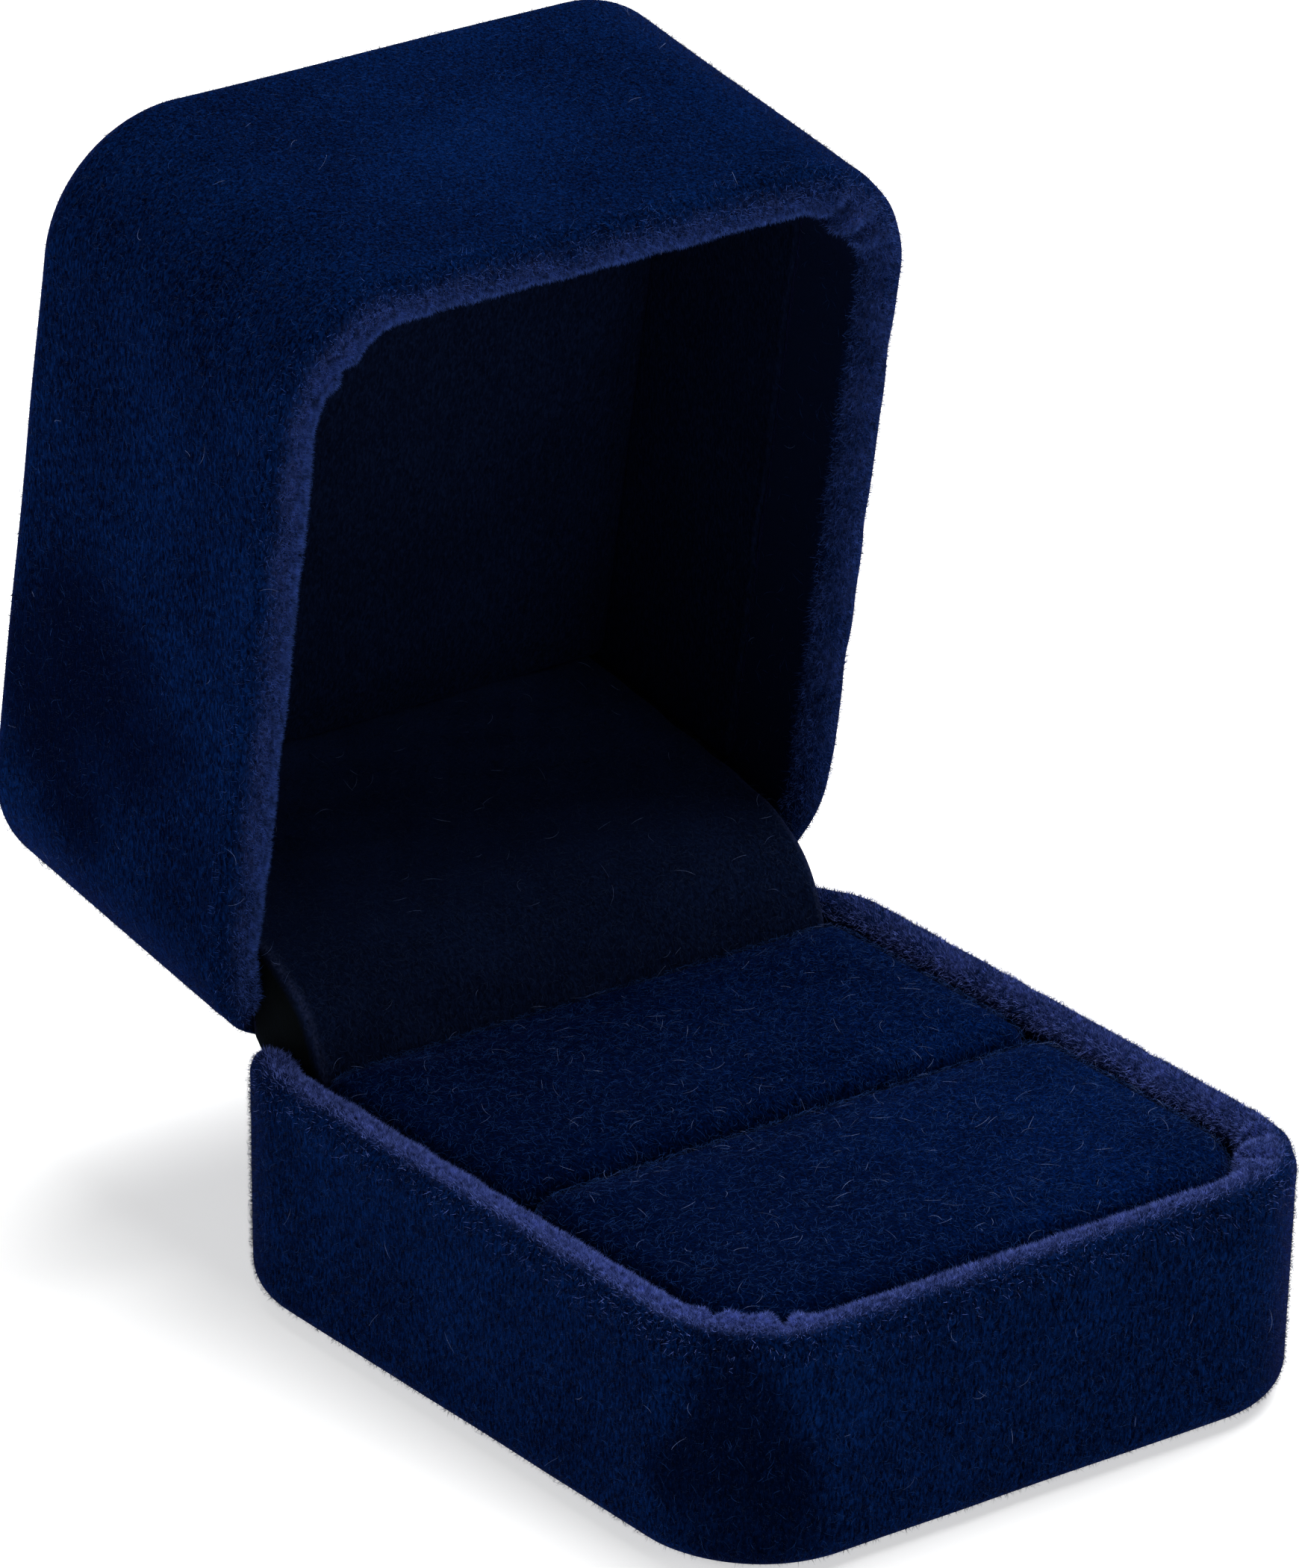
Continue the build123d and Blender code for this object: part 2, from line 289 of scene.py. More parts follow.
def tinted(tree, shade, attribute, colour, grain):
    """The shade, turned to another colour where the piece's attribute says, through a grain."""
    where = tree.nodes.new("ShaderNodeAttribute")
    where.attribute_name = attribute
    share = tree.nodes.new("ShaderNodeMath")
    share.operation = "MULTIPLY"
    tree.links.new(where.outputs["Fac"], share.inputs[0])
    tree.links.new(grain, share.inputs[1])
    mix = tree.nodes.new("ShaderNodeMix")
    mix.data_type = "RGBA"
    mix.inputs["B"].default_value = (*colour, 1)
    tree.links.new(share.outputs[0], mix.inputs["Factor"])
    tree.links.new(shade, mix.inputs["A"])
    return mix.outputs["Result"]


def velvet(name, colour, sheen, tints=(), contrast=1.0):
    """Matted velvet ground: soft nap patches, fine streaky pile, and a violet sheen."""
    material, tree, shader = new_material(name)
    patches = texture(tree, 9.0, 3.0)
    grain = texture(tree, 0.19, 3.0, stretch=2.5, swirl=0.8)
    mixed = blend_values(tree, patches, grain, 0.82)
    dark = scaled(colour, 1 - 0.8 * contrast)
    light = scaled(colour, 1 + 1.4 * contrast)
    stops = [(0.36, dark), (0.5, colour), (0.64, light)]
    shade = ramp(tree, mixed, stops)
    for attribute, tint, low, high in tints:
        fur = spread(tree, texture(tree, 0.16, 3.0, stretch=2.0), low, high)
        shade = tinted(tree, shade, attribute, tint, fur)
    tree.links.new(shade, shader.inputs["Base Color"])
    shader.inputs["Roughness"].default_value = 0.95
    shader.inputs["Specular IOR Level"].default_value = 0.0
    shader.inputs["Sheen Weight"].default_value = sheen
    shader.inputs["Sheen Roughness"].default_value = 0.3
    shader.inputs["Sheen Tint"].default_value = (0.14, 0.16, 0.80, 1)
    bump(tree, shader, texture(tree, 0.15, 2.0, stretch=2.0), 0.12, 0.7)
    return material


def fibre(name, root, tip, transmission=0.0):
    """Pile fibres, darker at the root than at the tip as painted shade among the pile; some let light
    through.
    """
    material, tree, shader = new_material(name)
    along = tree.nodes.new("ShaderNodeAttribute")
    along.attribute_name = "along"
    clumps = spread(tree, texture(tree, 0.4, 3.0, stretch=1.8), 0.33, 0.67)
    mixed = blend_values(tree, along.outputs["Fac"], clumps, 0.5)
    tree.links.new(ramp(tree, mixed, [(0.1, root), (0.85, tip)]), shader.inputs["Base Color"])
    shader.inputs["Roughness"].default_value = 0.6
    shader.inputs["Specular IOR Level"].default_value = 0.06
    shader.inputs["Transmission Weight"].default_value = transmission
    return material


def plain(name, colour, size, roughness, depth, metallic=0.0, kind=NOISE):
    """Solid stuff with a fine grain of that size."""
    material, tree, shader = new_material(name)
    grain = texture(tree, size, 4.0, kind)
    stops = [(0.25, scaled(colour, 0.7)), (0.75, scaled(colour, 1.25))]
    tree.links.new(ramp(tree, grain, stops), shader.inputs["Base Color"])
    rough = tree.nodes.new("ShaderNodeMapRange")
    rough.inputs["To Min"].default_value = roughness * 0.8
    rough.inputs["To Max"].default_value = min(1.0, roughness * 1.2)
    tree.links.new(grain, rough.inputs["Value"])
    tree.links.new(rough.outputs["Result"], shader.inputs["Roughness"])
    shader.inputs["Metallic"].default_value = metallic
    bump(tree, shader, grain, depth, 0.5)
    return material


NAVY = (0.0006, 0.0054, 0.030)
PAD_NAVY = (0.0004, 0.0050, 0.032)
LINING = (0.0030, 0.0064, 0.022)
# Lavender where the nap has opened on the rims: a painted sheen of grazing light on the pile.
OPENED_NAP_SHEEN = (0.065, 0.095, 0.34)
FLAT_TINT = (-1.0, -0.5)  # a tint range that lies under the grain, so that the tint is even
FUR_TINT = (0.32, 0.68)
OUTER_TINTS = (
    # painted shade: darker where the nap lies the other way
    ("painted_shade", scaled(NAVY, 0.25), 0.0, 0.5),
    # painted sheen on the opened nap of the rims
    ("nap", OPENED_NAP_SHEEN, *FUR_TINT),
    # painted shade: the turned-in velvet is painted in the darker lining tone inside the mouth
    ("inside", LINING, *FLAT_TINT),
)
HINGE_TINTS = (
    # painted light: the sheet's upper part, deep in the lid, is painted lighter
    ("upper", scaled(LINING, 5.0), *FLAT_TINT),
    # painted highlight along the rolled edge, where the nap opens at the fold
    ("edge", (0.03, 0.04, 0.10), *FUR_TINT),
    ("shaded", (0.0030, 0.0040, 0.0046), *FLAT_TINT),
)
MATERIALS = {
    "outer": velvet("outer_velvet", NAVY, 0.13, OUTER_TINTS),
    # the pads' tint is painted shade, darker towards the left
    "pad": velvet("pad_velvet", PAD_NAVY, 0.12, [("painted_shade", scaled(PAD_NAVY, 0.3), *FLAT_TINT)]),
    # one lining, painted a little darker in the crown and liner and a little lighter on the hinge's sheet:
    # painted shade and painted light
    "lining": velvet("lining_velvet", scaled(LINING, 0.88), 0.05, contrast=0.55),
    "hinge": velvet("hinge_lining_painted_light", scaled(LINING, 1.2), 0.06, HINGE_TINTS, contrast=0.55),
    "pile": fibre("wall_pile", (0.0006, 0.003, 0.016), (0.007, 0.019, 0.072)),
    # the rims' light lavender pile tips are a painted highlight of grazing light
    "rim_pile": fibre("rim_pile", (0.002, 0.010, 0.06), (0.23, 0.33, 1.0)),
    "lid_rim_pile": fibre("lid_rim_pile", (0.003, 0.009, 0.035), (0.07, 0.15, 0.58)),
    "halo": fibre("halo_pile", (0.003, 0.012, 0.05), (0.035, 0.055, 0.22), transmission=0.5),
    "pad_pile": fibre("pad_pile", (0.0006, 0.003, 0.02), (0.004, 0.018, 0.08)),
    "lining_pile": fibre("lining_pile", (0.0012, 0.003, 0.010), (0.009, 0.015, 0.038)),
    "curl": fibre("curled_pile", (0.003, 0.014, 0.06), (0.016, 0.06, 0.24)),
    "dark_curl": fibre("lining_curls", (0.004, 0.008, 0.026), (0.026, 0.042, 0.105)),
    "lint": fibre("loose_lint", (0.03, 0.06, 0.18), (0.16, 0.21, 0.42)),
    "plastic": plain("moulded_plastic", (0.012, 0.013, 0.02), 0.4, 0.45, 0.02),
    "card": plain("grey_board", (0.30, 0.27, 0.22), 0.35, 0.9, 0.05),
    "dark_card": plain("dark_paper", (0.006, 0.008, 0.03), 0.3, 0.8, 0.06, kind=CELLS),
    "foam": plain("foam", (0.55, 0.52, 0.42), 0.35, 0.95, 0.12, kind=CELLS),
    "steel": plain("nickelled_steel", (0.55, 0.54, 0.52), 0.15, 0.28, 0.01, metallic=1.0),
    # painted shade: the cover plate and springs are steel painted dark, for the shade in the hinge's gap
    "shaded_steel": plain("spring_steel", (0.035, 0.038, 0.05), 0.12, 0.4, 0.01, metallic=1.0),
}


# ---- velvet over a half of the box ----

def stations(side_step=0.6, corner_count=34):
    """Round the box: the centre that each station turns about, and its outward normal."""
    half_x = WIDTH / 2 - CORNER_R
    half_y = DEPTH / 2 - CORNER_R
    corners = [(half_x, -half_y), (half_x, half_y), (-half_x, half_y), (-half_x, -half_y)]
    feet = []
    angles = []
    for i, corner in enumerate(corners):
        turn = np.radians(np.linspace(-90, 0, corner_count + 1) + 90 * i)
        feet.extend([corner] * len(turn))
        angles.extend(turn)
        following = corners[(i + 1) % 4]
        run = math.dist(corner, following)
        count = round(run / side_step)
        for t in np.arange(1, count) / count:
            feet.append(tuple(np.array(corner) * (1 - t) + np.array(following) * t))
            angles.append(turn[-1])
    angles = np.array(angles)
    return np.array(feet), np.stack([np.cos(angles), np.sin(angles)], -1)


FEET, NORMALS = stations()


def along_rim():
    """Distance of each station along the middle of the rim."""
    middle = FEET + NORMALS * (CORNER_R - BEAD_R)
    steps = np.linalg.norm(np.roll(middle, -1, 0) - middle, axis=1)
    return np.concatenate([[0], np.cumsum(steps)[:-1]]), steps.sum()


ALONG, RIM_LENGTH = along_rim()


def from_corner(sign_x):
    """Signed distance of each station from the middle of that front corner, along the rim."""
    target = np.array([sign_x, -1]) / math.sqrt(2)
    foot = np.array([sign_x * (WIDTH / 2 - CORNER_R), -(DEPTH / 2 - CORNER_R)])
    near = np.linalg.norm(FEET - foot, axis=1) < 1e-6
    closeness = np.where(near, NORMALS @ target, -9)
    offset = ALONG - ALONG[np.argmax(closeness)]
    return (offset + RIM_LENGTH / 2) % RIM_LENGTH - RIM_LENGTH / 2


def arc(centre_d, centre_z, radius, start, end, count):
    """Points of an arc in a section, as (inset, height); angles in degrees."""
    turn = np.radians(np.linspace(start, end, count))
    return [(centre_d - radius * math.cos(a), centre_z + radius * math.sin(a)) for a in turn]


def rim_section(depth):
    """Section from the turned-in edge over the rim and down the wall to the bottom edge."""
    inside = [(RIM, z) for z in np.linspace(-TURN_IN, -BEAD_R, 13)[:-1]]
    bead = arc(BEAD_R, -BEAD_R, BEAD_R, 180, 0, 25)
    wall = [(0, z) for z in np.linspace(-BEAD_R, EDGE_R - depth, round(depth / 0.55))[1:-1]]
    edge = arc(EDGE_R, EDGE_R - depth, EDGE_R, 0, -90, 11)
    return inside + bead + wall + edge


def swept(section, draft):
    """The section carried round the box, as rows of points."""
    section = np.array(section)
    inset = section[:, 0] - section[:, 1] * math.tan(draft)
    reach = (CORNER_R - inset)[:, None, None]
    plan = FEET[None] + NORMALS[None] * reach
    height = np.broadcast_to(section[:, 1][:, None, None], (len(section), len(FEET), 1))
    return np.concatenate([plan, height], -1)


def rim_share(points):
    """1 over the rolled rim, falling to 0 down the wall."""
    return smoothstep(points[..., 2], -4.5, -1.2)


def inner_share(section):
    """0 on the outer half of the rim, 1 on its inner half and inside."""
    section = np.array(section)
    over = smoothstep(section[:, 0], 0.3, 2.4)
    over[section[:, 1] < -TURN_IN - 1] = 0
    return over[:, None]


def shift_inwards(points, amount):
    """Move towards the inside of the box, level."""
    points[..., :2] -= NORMALS[None] * amount[..., None]


def tuck(points, section, sign_x, creases, chord, deep):
    """Gathered velvet at a front rim corner: narrow creases with a flatter stretch between."""
    s = from_corner(sign_x)[None]
    inner = inner_share(section) * smoothstep(np.array(section)[:, 1], -7.5, -2.0)[:, None]
    flat = np.clip(1 - (s / chord) ** 2, 0, 1)
    shift_inwards(points, 0.55 * flat * inner)
    for place, width, depth in creases:
        dent = depth * np.exp(-((s - place) / width) ** 2)
        swell = 0.4 * depth * np.exp(-((np.abs(s - place) - 2.2 * width) / width) ** 2)
        shift_inwards(points, (swell - dent) * inner)
        points[..., 2] += (swell - deep * dent) * inner * rim_share(points)


def fall_to_meeting(points, fall):
    """Let the back rim fall to the plane where the open halves meet."""
    fall_start = 1.5
    behind = fall_start * np.logaddexp(0, (points[..., 1] - RIM_FALL_Y) / fall_start)
    points[..., 2] -= behind * math.tan(fall) * rim_share(points)
    normal_y = math.sin(HINGE_TILT)
    normal_z = math.cos(HINGE_TILT)
    over = (points[..., 1] - PIN_Y) * normal_y + (points[..., 2] - PIN_ABOVE_RIM) * normal_z + STOP_GAP
    soft = 0.4
    kept = -soft * np.logaddexp(0, -over / soft)
    drop = np.where(points[..., 1] > 0, over - kept, 0)
    points[..., 1] -= drop * normal_y
    points[..., 2] -= drop * normal_z


def clear_hinge(points):
    """Keep the velvet off the knuckles and off the ends of what turns."""
    y = points[..., 1] - PIN_Y
    z = points[..., 2] - PIN_ABOVE_RIM
    distance = np.hypot(y, z) + 1e-6
    near = 1 - smoothstep(np.abs(points[..., 0]), HINGE_HALF, HINGE_HALF + 0.9)
    push = np.maximum(0, HINGE_CLEAR_R - distance) * near
    points[..., 1] += push * y / distance
    points[..., 2] += push * z / distance
    bay = smoothstep(points[..., 1], *BAY_FRONT) * (1 - smoothstep(points[..., 1], *BAY_BACK))
    bay *= points[..., 2] > -TURN_IN - 1
    half = np.abs(points[..., 0])
    side = np.maximum(0, HINGE_HALF + BAY_CLEAR - half) * bay
    points[..., 0] += np.sign(points[..., 0]) * np.where(half > HINGE_HALF - BAY_REACH, side, 0)


def ripple(points, seed, walls=0.035, rims=0.07):
    """Slight unevenness of hand-wrapped velvet."""
    slow = waves(points, 14.0, seed) * walls
    quick = waves(points, 3.2, seed + 1) * rims * rim_share(points)
    amount = slow + quick
    shift_inwards(points, amount)
    points[..., 2] -= np.abs(quick) * 0.4


def crown_rows(depth, draft):
    """Rows that close the lid's crown, from its edge to the middle."""
    rows = []
    for inset in np.linspace(EDGE_R, 7.0, 9)[1:]:
        rows.append(swept([(inset, -depth)], draft)[0])
    outline = rows[-1]
    for share in np.linspace(1, 0, 22)[1:]:
        rows.append(outline * np.array([share, share, 1]))
    return np.stack(rows)


def half_cover(name, depth, draft, place, seed, tucks, fall, closed_crown):
    """Velvet over one half: outside, rolled over the rim and turned in."""
    section = rim_section(depth)
    if not closed_crown:
        section += [(d, -depth) for d in np.linspace(EDGE_R, UNDER_MARGIN - 0.5, 8)[1:]]
        section += [(UNDER_MARGIN, 0.12 - depth), (UNDER_MARGIN + 0.3, 0.5 - depth)]
    points = swept(section, draft)
    points[..., 2] -= PILE_ROOM * rim_share(points)
    ripple(points, seed)
    for one in tucks:
        tuck(points, section, *one)
    fall_to_meeting(points, fall)
    clear_hinge(points)
    if closed_crown:
        crown = crown_rows(depth, draft)
        from_edge = WIDTH / 2 - np.abs(crown[..., 0])
        crown[..., 2] -= 0.05 * waves(crown, 16.0, seed + 5) * smoothstep(from_edge, 3, 9)
        points = np.concatenate([points, crown])
    faces = grid_faces(points.shape[0], points.shape[1], True)
    piece = new_piece(name, place(points), faces, MATERIALS["outer"])
    mend(piece, MERGE)
    return piece


# ---- pads ----

def rounded_plan(x_half, y0, y1, front_r, back_r):
    """Plan of a pad as a ring of points."""
    front = y0 + front_r
    back = y1 - back_r
    corners = [(1, front, front_r), (1, back, back_r), (-1, back, back_r), (-1, front, front_r)]
    ring = []
    for number, (side, y, r) in enumerate(corners):
        for a in np.radians(np.linspace(-90, 0, 10) + 90 * number):
            ring.append((side * (x_half - r) + r * math.cos(a), y + r * math.sin(a)))
    return ring


SIM_SCALE = 10.0  # cloth is simulated at ten times life size
PUFF_CAP = 0.45  # how far a point may swell


def pad_block(name, plan, low, high, edge_r):
    """Closed block over the plan, its upper edge rounded."""
    plan = np.array(plan)
    middle = plan.mean(0)
    centred = plan - middle
    size = np.abs(centred).max(0)
    edge = arc(edge_r, high - edge_r, edge_r, 0, 90, 6)[1:]
    rings = [(0, low), (0, high - edge_r)] + edge
    outlines = [(middle + centred * (1 - inset / size), z) for inset, z in rings]
    closed = [(middle + 0 * centred, low)] + outlines + [(middle + 0 * centred, high)]
    points = np.stack([np.column_stack([ring, np.full(len(plan), z)]) for ring, z in closed])
    piece = new_piece(name, points, grid_faces(len(closed), len(plan), True), MATERIALS["pad"])
    mend(piece, MERGE)
    return piece


def apply_remesh(piece, voxel):
    remesh = piece.modifiers.new("even", "REMESH")
    remesh.mode = "VOXEL"
    remesh.voxel_size = voxel
    apply_modifiers(piece)


def coordinates(data):
    found = np.zeros(len(data.vertices) * 3)
    data.vertices.foreach_get("co", found)
    return found.reshape(-1, 3)


def vertex_normals(data):
    found = np.zeros(len(data.vertices) * 3, np.float32)
    data.vertex_normals.foreach_get("vector", found)
    return found.reshape(-1, 3).astype(float)


def run_cloth(piece, pressure, frames):
    """Fill the piece by cloth pressure, with its group "held" kept still."""
    cloth = piece.modifiers.new("cloth", "CLOTH")
    cloth.settings.use_pressure = True
    cloth.settings.uniform_pressure_force = pressure
    cloth.settings.quality = 4
    cloth.settings.vertex_group_mass = "held"
    cloth.settings.effector_weights.gravity = 0
    cloth.point_cache.frame_end = frames
    for number in range(1, frames + 1):
        bpy.context.scene.frame_set(number)
    apply_modifiers(piece)
    bpy.context.scene.frame_set(1)


def puff(piece, voxel=0.6, pressure=4.0, frames=20):
    """Fill a block like a cushion, and cap how far it swells."""
    piece.data.transform(Matrix.Scale(SIM_SCALE, 4))
    apply_remesh(piece, voxel * MM * SIM_SCALE)
    before = coordinates(piece.data)
    normals = vertex_normals(piece.data)
    bottom = before[:, 2] < before[:, 2].min() + 1.5 * voxel * MM * SIM_SCALE
    held = piece.vertex_groups.new(name="held")
    held.add(np.flatnonzero(bottom).tolist(), 1.0, "ADD")
    run_cloth(piece, pressure, frames)
    moved = coordinates(piece.data) - before
    outwards = (moved * normals).sum(1, keepdims=True)
    sideways = moved - outwards * normals
    cap = PUFF_CAP * MM * SIM_SCALE
    swelling = normals * cap * np.tanh(np.maximum(outwards, 0) / cap)
    eased = before + swelling + 0.2 * np.clip(sideways, -cap, cap)
    piece.data.vertices.foreach_set("co", eased.ravel())
    piece.vertex_groups.clear()
    piece.data.transform(Matrix.Scale(1 / SIM_SCALE, 4))


def smooth_piece(piece, rounds=3):
    """Soften a remeshed piece, and make it finer."""
    smooth = piece.modifiers.new("smooth", "SMOOTH")
    smooth.iterations = rounds
    smooth.factor = 0.5
    subdivide = piece.modifiers.new("finer", "SUBSURF")
    subdivide.levels = 1
    subdivide.render_levels = 1
    apply_modifiers(piece)
    piece.data.polygons.foreach_set("use_smooth", np.full(len(piece.data.polygons), True))


def cushion(name, plan, low, high, edge_r):
    piece = pad_block(name, plan, low, high, edge_r)
    puff(piece)
    smooth_piece(piece)
    return piece


def ring_pads():
    """The two cushions that the ring stands between."""
    start = 0.2  # each block starts this much smaller, and swells to size
    front_y = SLOT_Y - SLOT / 2
    rear_y = SLOT_Y + SLOT / 2
    front = rounded_plan(PAD_HALF - start, PAD_FRONT + start, front_y - start, PAD_CORNER_R, PAD_SMALL_R)
    rear = rounded_plan(PAD_HALF - start, rear_y + start, PAD_BACK - start, PAD_SMALL_R, PAD_SMALL_R)
    pieces = {}
    for name, plan in (("front_pad", front), ("rear_pad", rear)):
        piece = cushion(name, plan, PAD_FLOOR, PAD_TOP - start, 1.6)
        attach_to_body(piece, "base")
        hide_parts(name + "_velvet")
        pieces[name] = piece
    return pieces


def crown_pad():
    """Cushion in the crown of the lid."""
    start = 0.06
    back = BACK_PANEL_Y - 0.05
    plan = rounded_plan(CROWN_HALF - start, CROWN_FRONT + start, back - start, CROWN_CORNER_R, 0.6)
    piece = cushion("crown_pad", plan, -CROWN_CEILING, -CROWN_FACE - start, 1.2)
    piece.data.vertices.foreach_set("co", (in_lid(coordinates(piece.data) / MM) * MM).ravel())
    piece.data.materials[0] = MATERIALS["lining"]
    mend(piece)
    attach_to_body(piece, "lid")
    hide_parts("crown_velvet")
    return piece


# ---- velvet over the hinge ----

def rounded_path(points, rounds=4):
    """Cut the corners of an open path again and again."""
    path = np.array(points, float)
    for _ in range(rounds):
        near = path[:-1] * 0.75 + path[1:] * 0.25
        far = path[:-1] * 0.25 + path[1:] * 0.75
        middle = np.stack([near, far], 1).reshape(-1, 2)
        path = np.concatenate([path[:1], middle, path[-1:]])
    return path


def evenly(path, step):
    """Points along the path, each a step apart."""
    run = np.concatenate([[0], np.cumsum(np.linalg.norm(np.diff(path, axis=0), axis=1))])
    at = np.linspace(0, run[-1], round(run[-1] / step) + 1)
    return np.column_stack([np.interp(at, run, path[:, k]) for k in range(path.shape[1])])


def about_pin(y, z, angle):
    """A point of the shut box, turned back about the hinge line."""
    dy = y - PIN_Y
    dz = z - PIN_Z
    turned_y = PIN_Y + dy * math.cos(angle) + dz * math.sin(angle)
    return turned_y, PIN_Z - dy * math.sin(angle) + dz * math.cos(angle)


COVER_LOW = about_pin(PIN_Y - 3.2, PIN_Z - 4.0, HINGE_TILT)
COVER_TOP = about_pin(PIN_Y - 3.2, PIN_Z + 4.0, HINGE_TILT)
COVER_MID = about_pin(PIN_Y - 4.2, PIN_Z, HINGE_TILT)
LID_PANEL_LOW = about_pin(BACK_PANEL_Y, PIN_Z + 4.4, OPEN_ANGLE)
LID_PANEL_TOP = about_pin(BACK_PANEL_Y, RIM_Z + SEAM_GAP + CROWN_FACE + 1.5, OPEN_ANGLE)


FACE_HALF = 19.9  # half width of the sheet's flat face
ROLL_DEPTH = 1.5
LEFT_ROLL = [  # place sideways, and depth back from the face
    (20.25, 0.02), (20.5, 0.08), (20.7, 0.22), (20.85, 0.42), (21.0, 0.7), (21.15, 1.05),
    (COVER_HALF, ROLL_DEPTH),
]
RIGHT_ROLL = [
    (20.5, 0.0), (20.9, 0.05), (21.1, 0.2), (21.22, 0.45), (COVER_HALF, 0.8), (COVER_HALF, 1.1),
    (COVER_HALF, ROLL_DEPTH),
]
PANEL_FLANGE = 0.4  # how far the sheet runs back past its rolled edge
PLATE_FLANGE = 4.2  # the same where it hides the ends of the plate and the pin
SIDE_SPAN = 4.6


def hinge_path():
    """The sheet seen from the side, and the way to its back at each point."""
    base_end = [(BACK_PANEL_Y, 6.0), (BACK_PANEL_Y, 14.3)]
    route = base_end + [COVER_LOW, COVER_MID, COVER_TOP, LID_PANEL_LOW, LID_PANEL_TOP]
    path = evenly(rounded_path(route), 0.45)
    tangent = np.gradient(path, axis=0)
    tangent /= np.linalg.norm(tangent, axis=1, keepdims=True)
    return path, np.stack([tangent[:, 1], -tangent[:, 0]], -1)


def hinge_section():
    """Across the sheet: place sideways and depth, from flange to flange."""
    flat = [(x, 0.0) for x in np.linspace(-FACE_HALF, FACE_HALF, 87)]
    flange = [(COVER_HALF, ROLL_DEPTH + t) for t in np.linspace(0, 1, 7)[1:]]
    left = [(-x, depth) for x, depth in reversed(LEFT_ROLL + flange)]
    return np.array(left + flat + RIGHT_ROLL + flange)


def hinge_cover():
    """One sheet from behind the rear pad, over the hinge and up the lid's back wall."""
    path, back = hinge_path()
    across = hinge_section()
    over_plate = np.exp(-(np.linalg.norm(path - np.array(COVER_MID), axis=1) / SIDE_SPAN) ** 4)[:, None]
    reach = PANEL_FLANGE + (PLATE_FLANGE - PANEL_FLANGE) * over_plate
    past = np.maximum(0, across[:, 1] - ROLL_DEPTH)[None] * reach
    depth = np.minimum(across[:, 1], ROLL_DEPTH)[None] + past
    points = np.zeros((len(path), len(across), 3))
    points[..., 0] = across[:, 0]
    points[..., 1] = path[:, :1] + back[:, :1] * depth
    points[..., 2] = path[:, 1:] + back[:, 1:] * depth
    wave = 0.09 * waves(points, 9.0, 61) + 0.05 * waves(points, 3.0, 62)
    points[..., 1] += back[:, :1] * (wave + 0.1)
    points[..., 2] += back[:, 1:] * (wave + 0.1)
    faces = grid_faces(len(path), len(across), False)
    piece = new_piece("hinge_cover", points, faces, MATERIALS["hinge"])
    # Painted light on the sheet's upper part.
    above = smoothstep(path[:, 1], COVER_MID[1] + 1.0, COVER_MID[1] + 9.0)
    set_values(piece, "upper", np.repeat(above, len(across)))
    # Painted highlight along the fold of the rolled edge.
    edge = np.exp(-((across[:, 1] - 0.12) / 0.1) ** 2) * (across[:, 1] > 0)
    set_values(piece, "edge", np.tile(edge, len(path)))
    set_values(piece, "shaded", np.tile(smoothstep(across[:, 1], 0.25, 0.6), len(path)))
    return piece


def lid_liner():
    """Lining strip down the inside of the lid's walls, open behind the hinge's sheet."""
    inset = RIM - 0.12
    rows = [(inset + 0.35, -TURN_IN + 0.25)]
    rows += [(inset, z) for z in np.linspace(-TURN_IN, -CROWN_FACE - 2.0, 32)]
    points = swept(rows, LID_DRAFT)
    shift_inwards(points, 0.08 * waves(points, 7.0, 71))
    x = points[1, :, 0]
    y = points[1, :, 1]
    behind_sheet = (y > BACK_PANEL_Y + 0.4) & (np.abs(x) < COVER_HALF + 5)
    order = np.roll(np.arange(len(FEET)), -int(np.argmax(y)))
    points = points[:, order[~behind_sheet[order]]]
    faces = grid_faces(points.shape[0], points.shape[1], False)
    return new_piece("lid_liner", in_lid(points), faces, MATERIALS["lining"])


# ---- pile ----

TRIANGLE = ((1.0, 0.0), (-0.5, 0.866), (-0.5, -0.866))  # section of every fibre
PAD_PILE_LENGTH = 0.34
LINT_LIFT = 0.22
LID_INWARDS = np.array([0, -math.sin(OPEN_ANGLE), -math.cos(OPEN_ANGLE)])
CREST_CLEAR = -0.3  # loose fibres lie below this height of the rim, so that the lid can shut


def surface(piece):
    """Corners and vertex normals of a piece's triangles, in millimetres."""
    data = piece.data
    data.calc_loop_triangles()
    corners = np.zeros(len(data.loop_triangles) * 3, np.int32)
    data.loop_triangles.foreach_get("vertices", corners)
    corners = corners.reshape(-1, 3)
    points = coordinates(data) / MM
    return points[corners], vertex_normals(data)[corners]


def scatter(piece, count, rng, weight):
    """Seeded places on a piece, as points and normals; weight says where they crowd."""
    corners, normals = surface(piece)
    sides = np.cross(corners[:, 1] - corners[:, 0], corners[:, 2] - corners[:, 0])
    area = np.linalg.norm(sides, axis=1)
    share = area * weight(corners.mean(1), normals.mean(1))
    chosen = rng.choice(len(corners), count, p=share / share.sum())
    mix = rng.dirichlet((1, 1, 1), count)[:, :, None]
    normal = (normals[chosen] * mix).sum(1)
    return (corners[chosen] * mix).sum(1), normal / np.linalg.norm(normal, axis=1, keepdims=True)


def unit(vectors):
    return vectors / np.maximum(np.linalg.norm(vectors, axis=-1, keepdims=True), 1e-9)


def short_of_meeting(local, foot, tip):
    """Share of each fibre that stays on its own side of where the halves meet."""
    low = local(foot)[:, 2]
    rise = local(tip)[:, 2] - low
    return np.clip((SEAM_GAP / 2 - low) / np.maximum(rise, 0.01), 0.3, 1)[:, None]


